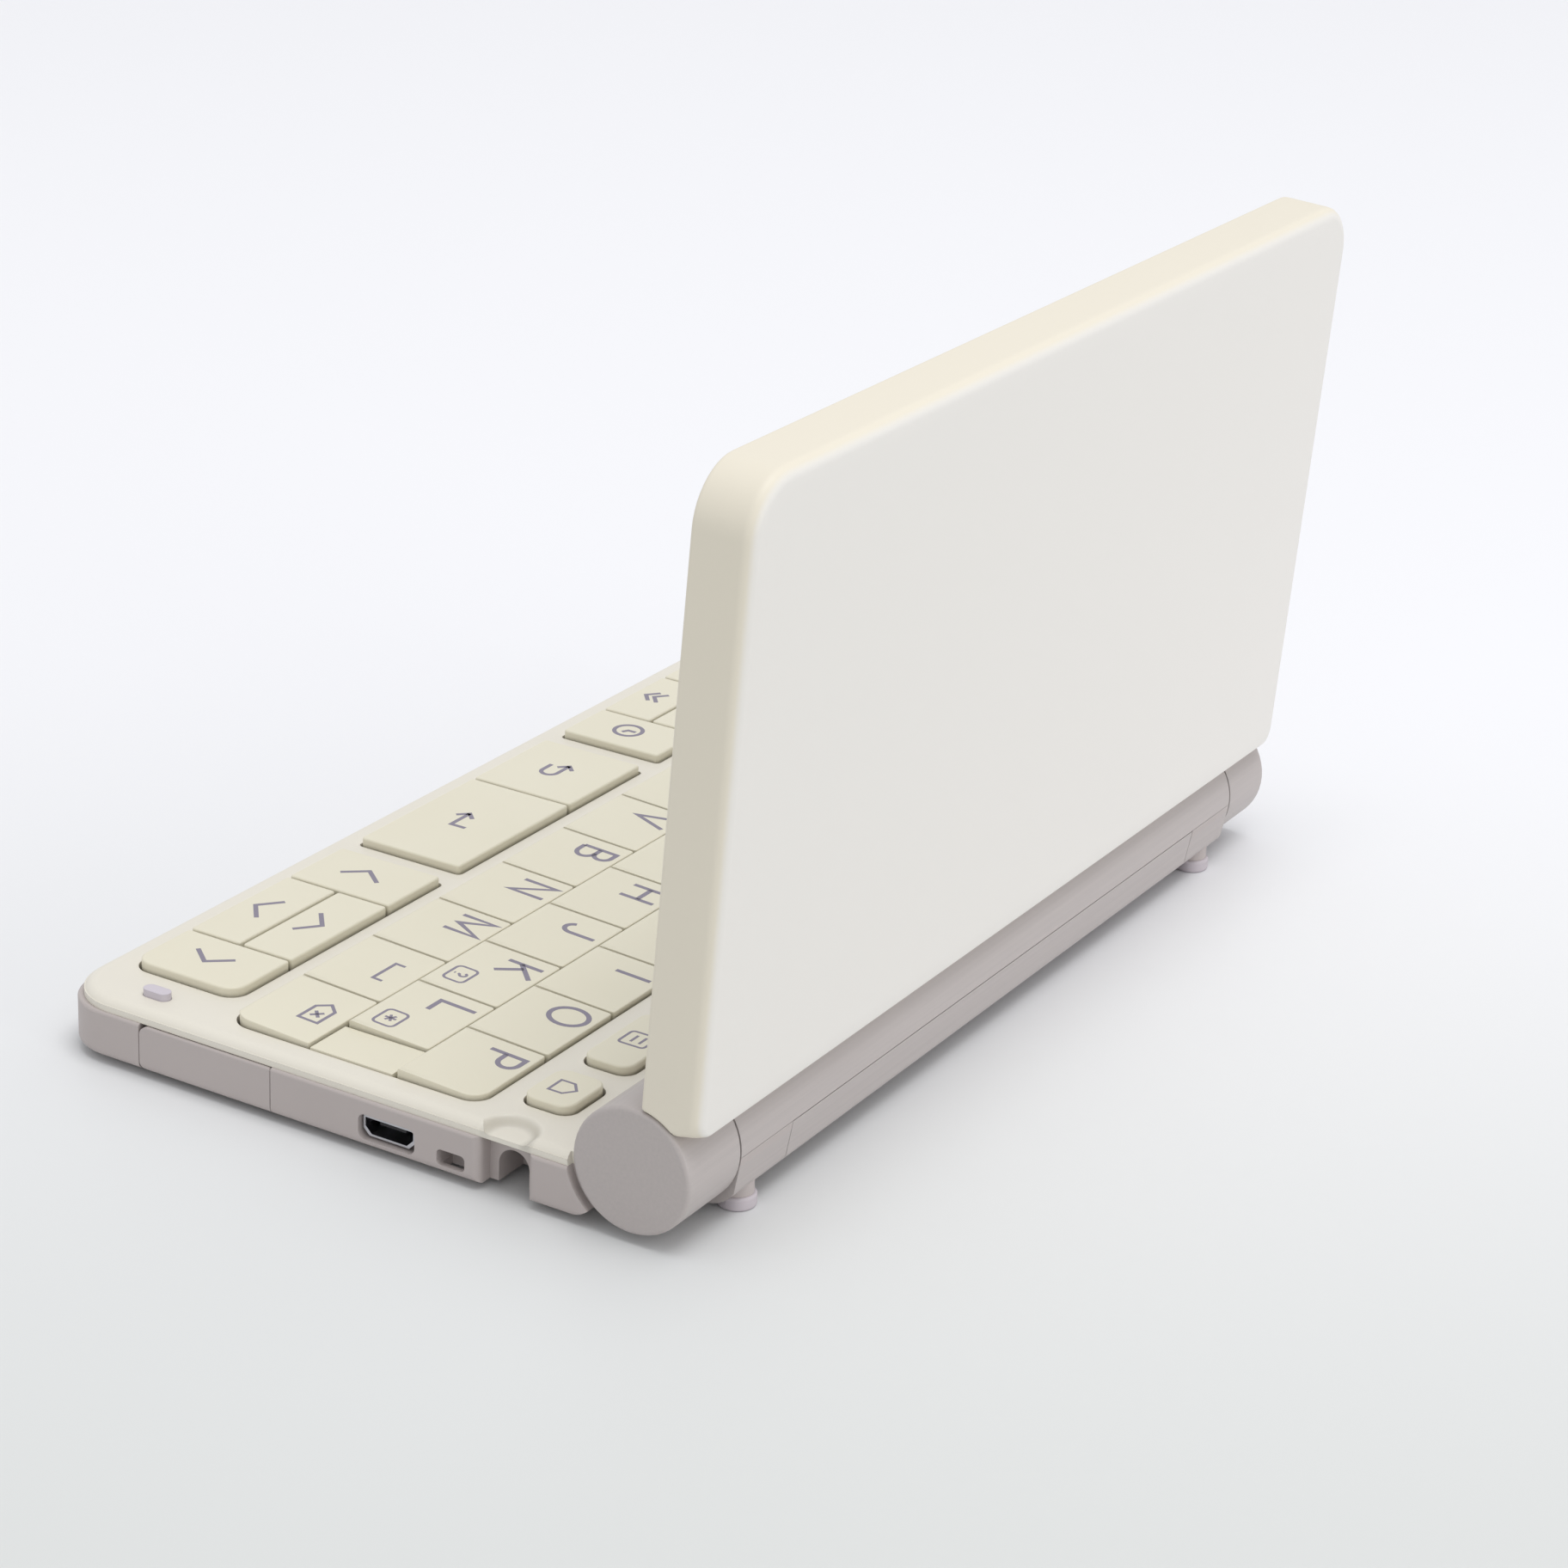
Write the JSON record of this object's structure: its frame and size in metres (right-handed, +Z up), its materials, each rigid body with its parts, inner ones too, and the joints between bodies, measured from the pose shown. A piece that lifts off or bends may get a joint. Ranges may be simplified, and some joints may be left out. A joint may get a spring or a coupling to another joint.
{
  "type": "electronic dictionary",
  "caption": "Clamshell pocket electronic dictionary with a wide screen lid on a barrel hinge, a letter keyboard and an empty pen holder.",
  "frame": {"origin": "on the table, under the middle of the open instrument", "axes": "+X to the user's right, +Y from the front edge to the hinge, +Z up from the table"},
  "size_m": [0.1486, 0.096, 0.0925],
  "materials": {
    "case_cream": "satin moulded plastic",
    "case_mauve": "satin moulded plastic",
    "lid_white": "glossy lacquered plastic",
    "key_cream": "satin moulded plastic",
    "window_clear": "clear hard window",
    "panel_grey": "dull screen surface, switched off",
    "battery_jacket": "printed film over a steel can",
    "spring_steel": "bright plated steel",
    "sleeve_steel": "oiled steel",
    "socket_black": "matt black plastic",
    "board_green": "lacquered circuit board",
    "mat_rubber": "translucent grey silicone",
    "foot_rubber": "matt soft rubber",
    "bumper_lilac": "matt soft rubber"
  },
  "bodies": {
    "base": {"base_bottom_case": "case_mauve", "base_top_case": "case_cream", "barrel_cover": "case_mauve", "battery_cells": "battery_jacket", "battery_contacts": "spring_steel", "card_socket": "spring_steel", "usb_shell": "spring_steel", "usb_tongue": "socket_black", "circuit_board": "board_green", "key_mat": "mat_rubber", "key_fillers": "key_cream", "speaker": "socket_black", "rubber_feet": "foot_rubber", "deck_bumpers": "bumper_lilac", "case_screws": "spring_steel", "hinge_sleeves": "sleeve_steel"},
    "battery_cover": {"battery_cover": "case_mauve"},
    "card_slot_cover": {"card_slot_cover": "case_mauve"},
    "lid": {"hinge_pins": "spring_steel", "hinge_end_caps": "case_mauve", "lid_back_shell": "lid_white", "lid_bezel": "case_cream", "display_panel": "panel_grey", "display_window": "window_clear"},
    "keys_q_w_e": {"keys_q_w_e": "key_cream"},
    "keys_r_t_y": {"keys_r_t_y": "key_cream"},
    "key_u": {"key_u": "key_cream"},
    "key_i": {"key_i": "key_cream"},
    "key_o": {"key_o": "key_cream"},
    "key_p": {"key_p": "key_cream"},
    "keys_a_s": {"keys_a_s": "key_cream"},
    "keys_d_f_g": {"keys_d_f_g": "key_cream"},
    "key_h": {"key_h": "key_cream"},
    "key_j": {"key_j": "key_cream"},
    "key_k": {"key_k": "key_cream"},
    "key_l": {"key_l": "key_cream"},
    "keys_shift_z": {"keys_shift_z": "key_cream"},
    "keys_x_c": {"keys_x_c": "key_cream"},
    "key_v": {"key_v": "key_cream"},
    "key_b": {"key_b": "key_cream"},
    "key_n": {"key_n": "key_cream"},
    "key_m": {"key_m": "key_cream"},
    "key_space": {"key_space": "key_cream"},
    "key_delete": {"key_delete": "key_cream"},
    "key_right": {"key_right": "key_cream"},
    "key_up": {"key_up": "key_cream"},
    "key_down": {"key_down": "key_cream"},
    "key_left": {"key_left": "key_cream"},
    "key_enter": {"key_enter": "key_cream"},
    "key_back": {"key_back": "key_cream"},
    "key_history": {"key_history": "key_cream"},
    "key_page_up": {"key_page_up": "key_cream"},
    "key_page_down": {"key_page_down": "key_cream"},
    "key_mark": {"key_mark": "key_cream"},
    "key_home": {"key_home": "key_cream"},
    "key_notebook": {"key_notebook": "key_cream"},
    "key_library": {"key_library": "key_cream"},
    "key_jump": {"key_jump": "key_cream"},
    "key_search": {"key_search": "key_cream"},
    "key_power": {"key_power": "key_cream"}
  },
  "joints": [
    {"name": "lid_hinge", "type": "hinge", "parent": "base", "child": "lid", "pos_m": [0, 0.03516, 0.0091], "axis": [-1, 0, 0], "range_deg": [-93.2, 56.8]},
    {"name": "battery_cover_slide", "type": "slide", "parent": "base", "child": "battery_cover", "axis": [0, 1, 0], "range_m": [0, 0.012]},
    {"name": "card_slot_cover_hinge", "type": "hinge", "parent": "base", "child": "card_slot_cover", "pos_m": [0.07405, -0.01544, 0.004], "axis": [0, 0, 1], "range_deg": [0, 90]},
    {"name": "keys_q_w_e_press", "type": "slide", "parent": "base", "child": "keys_q_w_e", "axis": [0, 0, -1], "range_m": [0, 0.0008], "stiffness_N_per_m": 600, "springref_m": -0.0004},
    {"name": "keys_r_t_y_press", "type": "slide", "parent": "base", "child": "keys_r_t_y", "axis": [0, 0, -1], "range_m": [0, 0.0008], "stiffness_N_per_m": 600, "springref_m": -0.0004},
    {"name": "key_u_press", "type": "slide", "parent": "base", "child": "key_u", "axis": [0, 0, -1], "range_m": [0, 0.0008], "stiffness_N_per_m": 600, "springref_m": -0.0004},
    {"name": "key_i_press", "type": "slide", "parent": "base", "child": "key_i", "axis": [0, 0, -1], "range_m": [0, 0.0008], "stiffness_N_per_m": 600, "springref_m": -0.0004},
    {"name": "key_o_press", "type": "slide", "parent": "base", "child": "key_o", "axis": [0, 0, -1], "range_m": [0, 0.0008], "stiffness_N_per_m": 600, "springref_m": -0.0004},
    {"name": "key_p_press", "type": "slide", "parent": "base", "child": "key_p", "axis": [0, 0, -1], "range_m": [0, 0.0008], "stiffness_N_per_m": 600, "springref_m": -0.0004},
    {"name": "keys_a_s_press", "type": "slide", "parent": "base", "child": "keys_a_s", "axis": [0, 0, -1], "range_m": [0, 0.0008], "stiffness_N_per_m": 600, "springref_m": -0.0004},
    {"name": "keys_d_f_g_press", "type": "slide", "parent": "base", "child": "keys_d_f_g", "axis": [0, 0, -1], "range_m": [0, 0.0008], "stiffness_N_per_m": 600, "springref_m": -0.0004},
    {"name": "key_h_press", "type": "slide", "parent": "base", "child": "key_h", "axis": [0, 0, -1], "range_m": [0, 0.0008], "stiffness_N_per_m": 600, "springref_m": -0.0004},
    {"name": "key_j_press", "type": "slide", "parent": "base", "child": "key_j", "axis": [0, 0, -1], "range_m": [0, 0.0008], "stiffness_N_per_m": 600, "springref_m": -0.0004},
    {"name": "key_k_press", "type": "slide", "parent": "base", "child": "key_k", "axis": [0, 0, -1], "range_m": [0, 0.0008], "stiffness_N_per_m": 600, "springref_m": -0.0004},
    {"name": "key_l_press", "type": "slide", "parent": "base", "child": "key_l", "axis": [0, 0, -1], "range_m": [0, 0.0008], "stiffness_N_per_m": 600, "springref_m": -0.0004},
    {"name": "keys_shift_z_press", "type": "slide", "parent": "base", "child": "keys_shift_z", "axis": [0, 0, -1], "range_m": [0, 0.0008], "stiffness_N_per_m": 600, "springref_m": -0.0004},
    {"name": "keys_x_c_press", "type": "slide", "parent": "base", "child": "keys_x_c", "axis": [0, 0, -1], "range_m": [0, 0.0008], "stiffness_N_per_m": 600, "springref_m": -0.0004},
    {"name": "key_v_press", "type": "slide", "parent": "base", "child": "key_v", "axis": [0, 0, -1], "range_m": [0, 0.0008], "stiffness_N_per_m": 600, "springref_m": -0.0004},
    {"name": "key_b_press", "type": "slide", "parent": "base", "child": "key_b", "axis": [0, 0, -1], "range_m": [0, 0.0008], "stiffness_N_per_m": 600, "springref_m": -0.0004},
    {"name": "key_n_press", "type": "slide", "parent": "base", "child": "key_n", "axis": [0, 0, -1], "range_m": [0, 0.0008], "stiffness_N_per_m": 600, "springref_m": -0.0004},
    {"name": "key_m_press", "type": "slide", "parent": "base", "child": "key_m", "axis": [0, 0, -1], "range_m": [0, 0.0008], "stiffness_N_per_m": 600, "springref_m": -0.0004},
    {"name": "key_space_press", "type": "slide", "parent": "base", "child": "key_space", "axis": [0, 0, -1], "range_m": [0, 0.0008], "stiffness_N_per_m": 600, "springref_m": -0.0004},
    {"name": "key_delete_press", "type": "slide", "parent": "base", "child": "key_delete", "axis": [0, 0, -1], "range_m": [0, 0.0008], "stiffness_N_per_m": 600, "springref_m": -0.0004},
    {"name": "key_right_press", "type": "slide", "parent": "base", "child": "key_right", "axis": [0, 0, -1], "range_m": [0, 0.0008], "stiffness_N_per_m": 600, "springref_m": -0.0004},
    {"name": "key_up_press", "type": "slide", "parent": "base", "child": "key_up", "axis": [0, 0, -1], "range_m": [0, 0.0008], "stiffness_N_per_m": 600, "springref_m": -0.0004},
    {"name": "key_down_press", "type": "slide", "parent": "base", "child": "key_down", "axis": [0, 0, -1], "range_m": [0, 0.0008], "stiffness_N_per_m": 600, "springref_m": -0.0004},
    {"name": "key_left_press", "type": "slide", "parent": "base", "child": "key_left", "axis": [0, 0, -1], "range_m": [0, 0.0008], "stiffness_N_per_m": 600, "springref_m": -0.0004},
    {"name": "key_enter_press", "type": "slide", "parent": "base", "child": "key_enter", "axis": [0, 0, -1], "range_m": [0, 0.0008], "stiffness_N_per_m": 600, "springref_m": -0.0004},
    {"name": "key_back_press", "type": "slide", "parent": "base", "child": "key_back", "axis": [0, 0, -1], "range_m": [0, 0.0008], "stiffness_N_per_m": 600, "springref_m": -0.0004},
    {"name": "key_history_press", "type": "slide", "parent": "base", "child": "key_history", "axis": [0, 0, -1], "range_m": [0, 0.0008], "stiffness_N_per_m": 600, "springref_m": -0.0004},
    {"name": "key_page_up_press", "type": "slide", "parent": "base", "child": "key_page_up", "axis": [0, 0, -1], "range_m": [0, 0.0008], "stiffness_N_per_m": 600, "springref_m": -0.0004},
    {"name": "key_page_down_press", "type": "slide", "parent": "base", "child": "key_page_down", "axis": [0, 0, -1], "range_m": [0, 0.0008], "stiffness_N_per_m": 600, "springref_m": -0.0004},
    {"name": "key_mark_press", "type": "slide", "parent": "base", "child": "key_mark", "axis": [0, 0, -1], "range_m": [0, 0.0008], "stiffness_N_per_m": 600, "springref_m": -0.0004},
    {"name": "key_home_press", "type": "slide", "parent": "base", "child": "key_home", "axis": [0, 0, -1], "range_m": [0, 0.0006], "stiffness_N_per_m": 600, "springref_m": -0.0004},
    {"name": "key_notebook_press", "type": "slide", "parent": "base", "child": "key_notebook", "axis": [0, 0, -1], "range_m": [0, 0.0006], "stiffness_N_per_m": 600, "springref_m": -0.0004},
    {"name": "key_library_press", "type": "slide", "parent": "base", "child": "key_library", "axis": [0, 0, -1], "range_m": [0, 0.0006], "stiffness_N_per_m": 600, "springref_m": -0.0004},
    {"name": "key_jump_press", "type": "slide", "parent": "base", "child": "key_jump", "axis": [0, 0, -1], "range_m": [0, 0.0006], "stiffness_N_per_m": 600, "springref_m": -0.0004},
    {"name": "key_search_press", "type": "slide", "parent": "base", "child": "key_search", "axis": [0, 0, -1], "range_m": [0, 0.0006], "stiffness_N_per_m": 600, "springref_m": -0.0004},
    {"name": "key_power_press", "type": "slide", "parent": "base", "child": "key_power", "axis": [0, 0, -1], "range_m": [0, 0.0006], "stiffness_N_per_m": 600, "springref_m": -0.0004}
  ]
}
